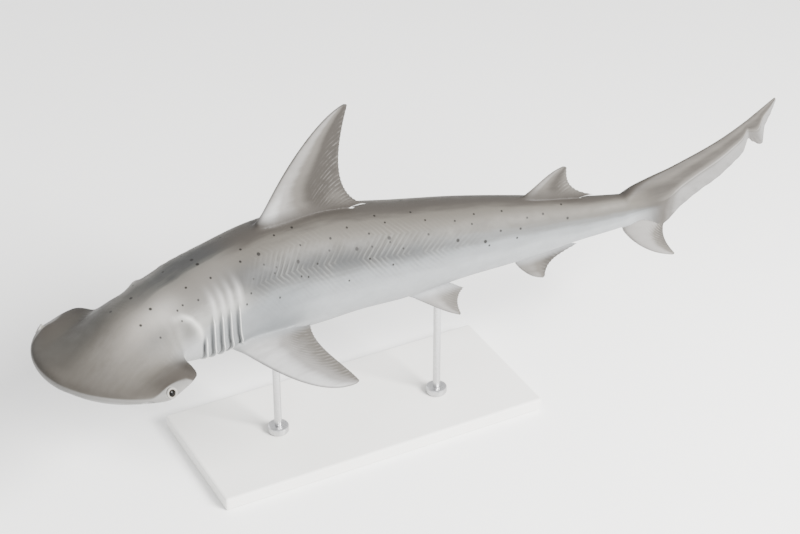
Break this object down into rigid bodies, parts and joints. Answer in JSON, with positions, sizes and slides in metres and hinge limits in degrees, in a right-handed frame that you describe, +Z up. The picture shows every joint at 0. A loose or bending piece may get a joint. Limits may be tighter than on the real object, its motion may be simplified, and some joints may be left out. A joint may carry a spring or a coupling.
{
  "type": "bonnethead shark model",
  "caption": "Life-size bonnethead shark, a small hammerhead with a shovel-shaped head, swimming with its body bent in a curve, held on rods over a flat base.",
  "frame": {"origin": "centre of the bounding box at its lowest level, the underside of the stand's base", "axes": "+Z up; the snout points towards -X and the tail towards +X; the left flank faces -Y"},
  "size_m": [0.9996, 0.3368, 0.4746],
  "materials": {
    "head_skin": "satin, smooth shark skin, brown-grey above and white below",
    "body_skin": "satin, smooth shark skin, brown-grey above and blue-white below, with small dark spots",
    "fin_skin": "satin, thin skin over fine rays",
    "eye": "wet gloss",
    "stand_paint": "satin paint on board",
    "stand_steel": "brushed"
  },
  "bodies": {
    "root": {"head": "head_skin", "eye_left": "eye", "eye_right": "eye", "gill_region": "body_skin", "trunk_front": "body_skin", "trunk_rear": "body_skin", "tail_stalk": "body_skin", "tail_upper_lobe": "fin_skin", "tail_lower_lobe": "fin_skin", "first_dorsal_fin": "fin_skin", "second_dorsal_fin": "fin_skin", "anal_fin": "fin_skin", "pectoral_fin_left": "fin_skin", "pectoral_fin_right": "fin_skin", "pelvic_fin_left": "fin_skin", "pelvic_fin_right": "fin_skin", "stand_base": "stand_paint", "stand_collar_front": "stand_steel", "stand_collar_rear": "stand_steel", "stand_rod_front": "stand_steel", "stand_rod_rear": "stand_steel", "stand_saddle_front": "stand_steel", "stand_saddle_rear": "stand_steel"}
  },
  "joints": []
}
